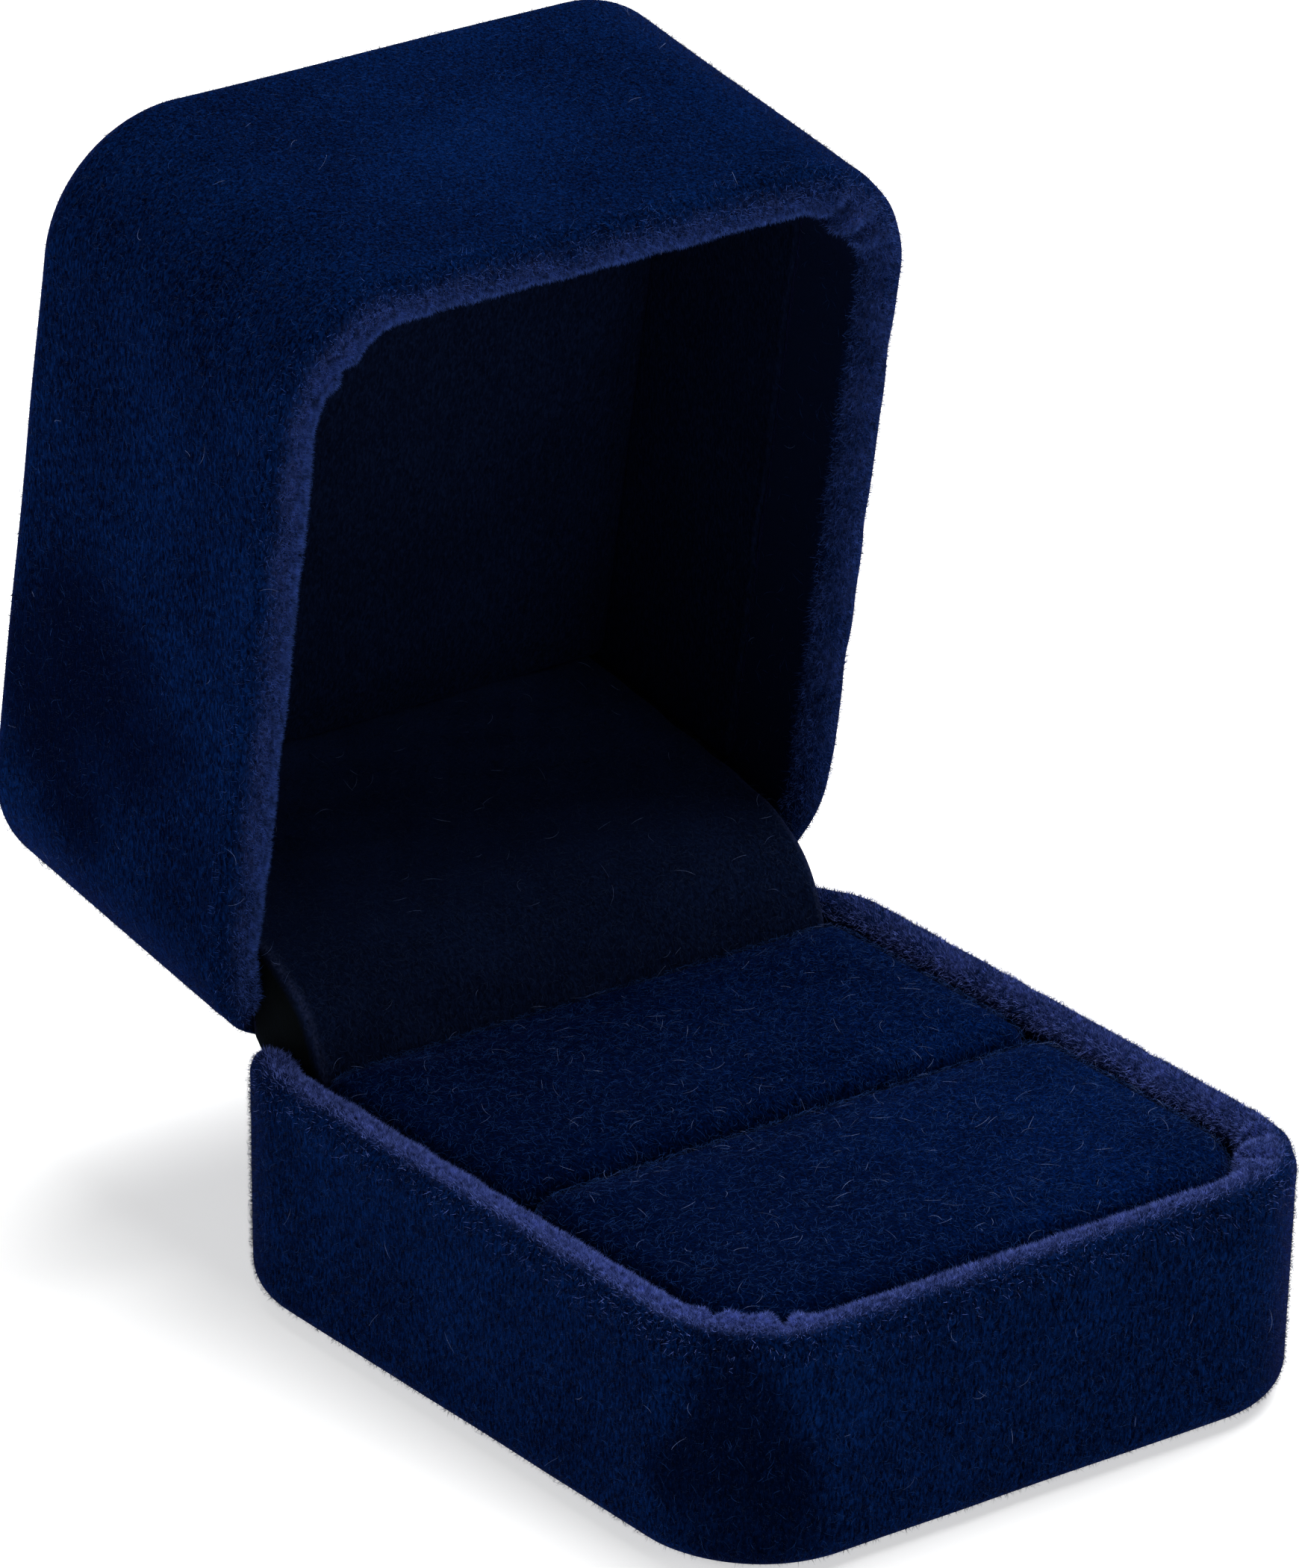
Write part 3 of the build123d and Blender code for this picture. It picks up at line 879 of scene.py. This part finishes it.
def pile(name, places, normals, length, width, lean, rng, material, local=None):
    """Closed three-sided spikes that stand off the surface."""
    count = len(places)
    loose = rng.normal(size=(count, 3))
    level = unit(loose - (loose * normals).sum(1)[:, None] * normals)
    way = unit(normals + level * rng.uniform(0.2, 1, (count, 1)) * lean)
    lift = np.maximum(0.12, (way * normals).sum(1))[:, None]
    way = unit(way + normals * np.maximum(0, 0.2 - lift))
    side = unit(np.cross(way, rng.normal(size=(count, 3))))
    other = np.cross(way, side)
    radius = width * rng.uniform(0.7, 1.2, (count, 1))
    reach = length * rng.uniform(0.6, 1.25, (count, 1))
    foot = places - normals * 0.05
    if local:
        reach *= short_of_meeting(local, foot, foot + way * reach)
    base = [foot + radius * (side * c + other * s) for c, s in TRIANGLE]
    points = np.stack([*base, foot + way * reach], 1).reshape(-1, 3)
    corners = np.array([(0, 1, 3), (1, 2, 3), (2, 0, 3), (0, 2, 1)])
    faces = (corners[None] + 4 * np.arange(count)[:, None, None]).reshape(-1, 3)
    piece = new_piece(name, points, faces, material, smooth=False)
    # The roots are painted darker as shade among the pile; how light each tip is differs at random.
    brightness = rng.uniform(0.3, 1, (count, 1))
    set_values(piece, "along", np.tile([0, 0, 0, 1], (count, 1)) * brightness)
    return piece


def tube_faces(joints):
    """Triangles of a closed three-sided tube."""
    quads = grid_faces(joints, 3, True)
    last = joints * 3
    ends = [[0, 2, 1], [last - 3, last - 2, last - 1]]
    return np.concatenate([quads[:, [0, 1, 2]], quads[:, [0, 2, 3]], ends])


def lint(name, places, normals, length, rng, material, joints=7, thickness=0.014):
    """Loose curved fibres lying on the pile."""
    count = len(places)
    level = np.cross(normals, rng.normal(size=(count, 3)))
    way = unit(level + normals * rng.uniform(0.0, 0.5, (count, 1)))
    sideways = np.cross(way, normals) * rng.normal(size=(count, 1))
    bend = unit(sideways + normals * rng.uniform(-0.2, 0.5, (count, 1)))
    t = np.linspace(-0.5, 0.5, joints)[None, :, None]
    reach = length * rng.uniform(0.45, 1.3, (count, 1, 1))
    curl = rng.uniform(0.1, 0.9, (count, 1, 1))
    line = places[:, None] + way[:, None] * t * reach + bend[:, None] * (curl * reach * (0.25 - t * t))
    line += normals[:, None] * LINT_LIFT
    side = unit(np.cross(way, normals))[:, None]
    up = unit(np.cross(side[:, 0], way))[:, None]
    thin = thickness * np.sqrt(np.clip(1 - (1.8 * t) ** 2, 0.12, 1))
    rings = [line + thin * (side * c + up * s) for c, s in TRIANGLE]
    points = np.stack(rings, 2)
    faces = (tube_faces(joints)[None] + joints * 3 * np.arange(count)[:, None, None]).reshape(-1, 3)
    piece = new_piece(name, points.reshape(-1, 3), faces, material)
    brightness = rng.uniform(0.2, 1, (count, 1))
    set_values(piece, "along", np.broadcast_to(brightness, (count, joints * 3)))
    return piece


def base_local(points):
    return points - np.array([0, 0, RIM_Z])


def lid_local(points):
    """Back to the half's own frame, rim at height 0 and mouth up."""
    y = points[..., 1] - PIN_Y
    z = points[..., 2] - PIN_Z
    local = points.copy()
    local[..., 1] = PIN_Y + y * math.cos(OPEN_ANGLE) - z * math.sin(OPEN_ANGLE)
    local[..., 2] = PIN_Z + y * math.sin(OPEN_ANGLE) + z * math.cos(OPEN_ANGLE)
    local[..., 2] = RIM_Z + SEAM_GAP - local[..., 2]
    return local


def inset_of(local):
    """How far inside the outline a point lies, and the way out to it."""
    half = np.array([WIDTH / 2 - CORNER_R, DEPTH / 2 - CORNER_R])
    beyond = np.maximum(np.abs(local[..., :2]) - half, 0) * np.sign(local[..., :2])
    reach = np.linalg.norm(beyond, axis=-1)
    return CORNER_R - reach, beyond / np.maximum(reach, 1e-6)[..., None]


def opened_nap_sheen(local, sides, band):
    """Painted sheen along the rim where the nap has opened: lightest on the left, where the light grazes
    it, and fading towards the hinge; sides are its strength left, front and right.
    """
    inset, way = inset_of(local)
    left, front, right = sides
    strength = left * np.maximum(-way[..., 0], 0) + right * np.maximum(way[..., 0], 0)
    strength += front * np.maximum(-way[..., 1], 0) + 0.3 * np.maximum(way[..., 1], 0)
    crest = smoothstep(local[..., 2], -2.4, -1.1) * smoothstep(inset, *band)
    away = 1 - 0.8 * smoothstep(local[..., 1], 11, 24)
    return np.clip(strength * away * crest * (1 + 0.4 * waves(local, 3.0, 31)), 0, 1)


def inside_share(local):
    """1 on the velvet that is turned in, below the inner edge of the rim."""
    inset = inset_of(local)[0]
    below = smoothstep(-local[..., 2], 1.0, 2.6) * (local[..., 2] > -TURN_IN - 1)
    return smoothstep(inset, 2.2, 3.0) * below


def painted_shade_share(local, spots):
    """Painted shade: 1 where the nap lies the other way and catches less light, so it is painted darker;
    spots are (place, radius, strength).
    """
    share = np.zeros(len(local))
    for place, radius, strength in spots:
        distance = np.linalg.norm(local - np.array(place), axis=-1) + 2.0 * waves(local, 9.0, 41)
        share = np.maximum(share, strength * (1 - smoothstep(distance, 0.4 * radius, 1.4 * radius)))
    return share


def on_rim(local, sides, band):
    """Where the standing pile crowds: over the crest, and most where the nap has opened and its painted
    sheen is strongest.
    """
    inset = inset_of(local)[0]
    shoulder = 0.03 * smoothstep(local[..., 2], -3.0, -1.0) * (inset < 2.4)
    crest = smoothstep(local[..., 2], -2.2, -0.7) * smoothstep(inset, *band)
    return shoulder + crest * (0.3 + opened_nap_sheen(local, sides, band) / max(sides))


def half_pile(cover, body, local, depth, rim_material, sides, band, seed):
    """Wall pile, longer pile standing on the rim, loose halo fibres and turned-in pile of one half."""
    rng = np.random.default_rng(seed)
    made = []

    def wall(points, normals):
        own = local(points)
        above_floor = own[:, 2] > (0.45 - depth if body == "base" else -depth - 1)
        return above_floor * (1 - inside_share(own))

    def rim(points, normals):
        return on_rim(local(points), sides, band)

    def turned_in(points, normals):
        return inside_share(local(points))

    for name, count, weight, length, width, lean, material in (
        ("_wall_pile", 49000, wall, 0.45, 0.018, 1.7, "pile"),
        ("_rim_pile", 49000, rim, 0.5, 0.02, 1.3, rim_material),
        ("_halo_pile", 48000, wall, 0.42, 0.008, 1.0, "halo"),
        ("_turned_pile", 9000, turned_in, 0.34, 0.014, 1.3, "lining_pile"),
    ):
        places, normals = scatter(cover, count, rng, weight)
        piece = pile(body + name, places, normals, length, width, lean, rng, MATERIALS[material], local)
        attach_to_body(piece, body)
        made.append(piece)
    return made


def finish_cover(cover, body, local, depth, sides, band, spots, rim_material, seed):
    """Mark where the nap opens (painted sheen), turns in (painted shade in the lining tone) or lies the
    other way (painted shade), and grow the pile.
    """
    own = local(coordinates(cover.data) / MM)
    set_values(cover, "nap", opened_nap_sheen(own, sides, band))
    set_values(cover, "inside", inside_share(own))
    set_values(cover, "painted_shade", painted_shade_share(own, spots))
    return half_pile(cover, body, local, depth, rim_material, sides, band, seed)


def always(points, normals):
    return np.ones(len(points))


def facing_up(points, normals):
    return (normals[:, 2] > 0.1) * 1.0


def towards_mouth(points, normals):
    return (normals @ LID_INWARDS > 0.1) * 1.0


def loose_on_base(points, normals):
    above_floor = points[:, 2] > 1.2
    return above_floor * (base_local(points)[:, 2] < CREST_CLEAR) * 1.0


def loose_on_lid(points, normals):
    return (lid_local(points)[:, 2] < CREST_CLEAR) * 1.0


def on_face(points, normals):
    return (np.abs(normals[:, 0]) < 0.6) * 1.0


def attach(piece, body):
    """Give loose pile its body, unless it is blended between two."""
    if body:
        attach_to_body(piece, body)
    return piece


def short_pile(source, name, body, count, seed, material, weight=always):
    """Pile standing on a pad or on the lining."""
    rng = np.random.default_rng(seed)
    places, normals = scatter(source, count, rng, weight)
    piece = pile(name, places, normals, PAD_PILE_LENGTH, 0.014, 1.3, rng, MATERIALS[material])
    return attach(piece, body)


def loose_lint(source, name, body, count, seed, slot, weight=always, length=1.2, material="lint", **shape):
    """Loose fibres lying on a piece; shape may hold joints and thickness."""
    rng = np.random.default_rng(seed)
    places, normals = scatter(source, count, rng, weight)
    piece = lint(name, places, normals, length, rng, MATERIALS[material], **shape)
    return attach(piece, body)


# ---- put together ----

BASE_TUCKS = [  # side, creases as (place, width, depth), half length of the chord, and drop
    (-1, [(-2.5, 0.45, 0.6), (2.6, 0.5, 0.65)], 3.2, 0.9),
    (1, [(-1.2, 0.55, 0.6), (2.4, 0.6, 0.45)], 2.8, 0.8),
]
LID_TUCKS = [
    (-1, [(-0.8, 0.6, 0.3)], 3.4, 0.6),
    (1, [(0.6, 0.6, 0.7), (-2.6, 0.6, 0.45)], 2.8, 0.7),
]
BASE_BAND = (0.5, 1.7)  # the part of the rim, from outside, where the nap has opened and is painted with sheen
LID_BAND = (0.1, 2.1)
# Spots of painted shade, where the nap lies the other way: low on the base's front corners and on the
# lid's left wall.
BASE_SHADE_SPOTS = [
    ((-22, -27, -4.5), 4.5, 0.75), ((-22, -27, -9.5), 5, 0.85),
    ((-21.5, -27, -14.5), 4.5, 0.7), ((22, -26, -15), 5, 0.4),
]
LID_SHADE_SPOTS = [((-25.5, 9, -19), 10, 0.95), ((-25.5, 20, -6), 8, 0.3)]

base_cover = half_cover("base_cover", BASE_DEPTH, BASE_DRAFT, in_base, 11, BASE_TUCKS, BASE_FALL, False)
lid_cover = half_cover("lid_cover", LID_DEPTH, LID_DRAFT, in_lid, 21, LID_TUCKS, LID_FALL, True)
# The sides set the rims' painted sheen left, front and right; it is strongest on the base's left, where
# the light grazes the rim.
base_fuzz = finish_cover(
    base_cover, "base", base_local, BASE_DEPTH, (1.0, 0.33, 0.3), BASE_BAND, BASE_SHADE_SPOTS, "rim_pile", 101,
)
lid_fuzz = finish_cover(
    lid_cover, "lid", lid_local, LID_DEPTH, (0.5, 0.22, 0.2), LID_BAND, LID_SHADE_SPOTS, "lid_rim_pile", 102,
)

for cover, body, replaced in ((base_cover, "base", "base_velvet"), (lid_cover, "lid", "lid_velvet")):
    thicken(cover, VELVET)
    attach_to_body(cover, body)
    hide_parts(replaced)

pads = ring_pads()
crown = crown_pad()
liner = lid_liner()
bridge = hinge_cover()

for name, seed in (("front_pad", 201), ("rear_pad", 202)):
    short_pile(pads[name], name + "_pile", "base", 42000, seed, "pad_pile", facing_up)
    loose_lint(pads[name], name + "_lint", "base", 150, seed + 10, "pad_velvet", facing_up)
    loose_lint(
        pads[name], name + "_curls", "base", 9500, seed + 20, "pad_velvet", facing_up,
        length=0.7, material="curl", joints=4, thickness=0.011,
    )

# Painted shade: the pads are painted darker towards the left, where less light falls on them.
for name in ("front_pad", "rear_pad"):
    across = coordinates(pads[name].data)[:, 0] / MM
    set_values(pads[name], "painted_shade", 0.55 * smoothstep(-across, -14, 18))

short_pile(crown, "crown_pile", "lid", 20000, 211, "lining_pile", towards_mouth)
liner_pile = short_pile(liner, "liner_pile", "lid", 20000, 212, "lining_pile")
bridge_pile = short_pile(
    bridge, "hinge_cover_pile", None, 30000, 213, "lining_pile", on_face,
)
bridge_lint = loose_lint(bridge, "hinge_cover_lint", None, 90, 214, "lining_velvet", on_face)
bridge_curls = loose_lint(
    bridge, "hinge_cover_curls", None, 9500, 217, "lining_velvet", on_face,
    length=0.7, material="dark_curl", joints=4, thickness=0.010,
)
base_fuzz.append(loose_lint(base_cover, "base_lint", "base", 110, 215, "outer_velvet", loose_on_base))
lid_fuzz.append(loose_lint(lid_cover, "lid_lint", "lid", 170, 216, "outer_velvet", loose_on_lid))
base_fuzz.append(loose_lint(
    base_cover, "base_curls", "base", 9500, 218, "outer_velvet", loose_on_base,
    length=0.8, material="curl", joints=4, thickness=0.009,
))
lid_fuzz.append(loose_lint(
    lid_cover, "lid_curls", "lid", 9500, 219, "outer_velvet", loose_on_lid,
    length=0.8, material="curl", joints=4, thickness=0.009,
))

thicken(liner, 0.5)
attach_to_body(liner, "lid")
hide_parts("lid_side_liner")

thicken(bridge, 0.5)
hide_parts("base_back_velvet", "cover_plate_velvet", "lid_back_velvet")
for piece in (bridge, bridge_pile, bridge_lint, bridge_curls):
    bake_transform(piece)

NODE_MATERIALS = {
    "plastic": ("base_shell", "lid_shell"),
    "dark_card": ("bottom_card", "insert_card"),
    "card": ("base_back_card", "lid_back_card", "crown_card"),
    "foam": ("rear_pad_foam", "front_pad_foam", "crown_foam"),
    "steel": ("hinge_base_leaf", "hinge_lid_leaf", "hinge_base_rivets", "hinge_lid_rivets", "hinge_pin"),
    "shaded_steel": ("cover_plate", "snap_springs"),
}
for material, nodes in NODE_MATERIALS.items():
    for node in nodes:
        data = frame["nodes"][node].data
        data.materials.clear()
        data.materials.append(MATERIALS[material])


# ---- floor, light and camera ----

def floor():
    size = 6000.0
    corners = [(-size, -size, 0), (size, -size, 0), (size, size, 0), (-size, size, 0)]
    material, tree, shader = new_material("floor")
    grain = ramp(tree, texture(tree, 60.0, 2.0), [(0.3, (0.93, 0.93, 0.93)), (0.7, (0.96, 0.96, 0.96))])
    tree.links.new(grain, shader.inputs["Base Color"])
    shader.inputs["Roughness"].default_value = 1.0
    shader.inputs["Emission Color"].default_value = (1, 1, 1, 1)
    shader.inputs["Emission Strength"].default_value = 0.55
    piece = new_piece("floor", corners, [(0, 1, 2, 3)], material)


def softbox(name, place, aim, size, power):
    light = bpy.data.lights.new(name, "AREA")
    light.shape = "DISK"
    light.size = size * MM
    light.energy = power
    lamp = bpy.data.objects.new(name, light)
    lamp.location = Vector(place) * MM
    lamp.rotation_euler = (Vector(aim) - Vector(place)).to_track_quat("-Z", "Y").to_euler()
    bpy.context.scene.collection.objects.link(lamp)


def world(strength):
    made = bpy.data.worlds.new("studio")
    made.use_nodes = True
    ground = made.node_tree.nodes["Background"]
    ground.inputs["Color"].default_value = (1, 1, 1, 1)
    ground.inputs["Strength"].default_value = strength
    bpy.context.scene.world = made


CAMERA_AIM = (2.4, 16.5, 32.8)
CAMERA_DISTANCE = 765.7
CAMERA_AZIMUTH = math.radians(-37.55)
CAMERA_ELEVATION = math.radians(24.11)
CAMERA_ROLL = math.radians(0.90)
CAMERA_LENS = 267.5


def camera():
    level = Vector((math.cos(CAMERA_AZIMUTH), math.sin(CAMERA_AZIMUTH), 0))
    back = Vector((
        math.sin(CAMERA_AZIMUTH) * math.cos(CAMERA_ELEVATION),
        -math.cos(CAMERA_AZIMUTH) * math.cos(CAMERA_ELEVATION),
        math.sin(CAMERA_ELEVATION),
    ))
    above = back.cross(level)
    right = level * math.cos(CAMERA_ROLL) + above * math.sin(CAMERA_ROLL)
    up = above * math.cos(CAMERA_ROLL) - level * math.sin(CAMERA_ROLL)
    lens = bpy.data.cameras.new("camera")
    lens.lens = CAMERA_LENS
    lens.clip_end = 20
    made = bpy.data.objects.new("camera", lens)
    place = (Vector(CAMERA_AIM) + back * CAMERA_DISTANCE) * MM
    axes = Matrix((right, up, back)).transposed().to_4x4()
    made.matrix_world = Matrix.Translation(place) @ axes
    bpy.context.scene.collection.objects.link(made)
    bpy.context.scene.camera = made


WORLD_LIGHT = 0.085
LIGHTS = (  # name, place, size and power
    ("top_light", (230, 110, 600), 700, 6.3),
    ("left_light", (-520, 300, 220), 300, 0.9),
    ("front_light", (100, -560, 260), 300, 0.4),
)

floor()
world(WORLD_LIGHT)
for name, place, size, power in LIGHTS:
    softbox(name, place, (0, 5, 20), size, power)
camera()
bpy.context.scene.view_settings.view_transform = "Standard"
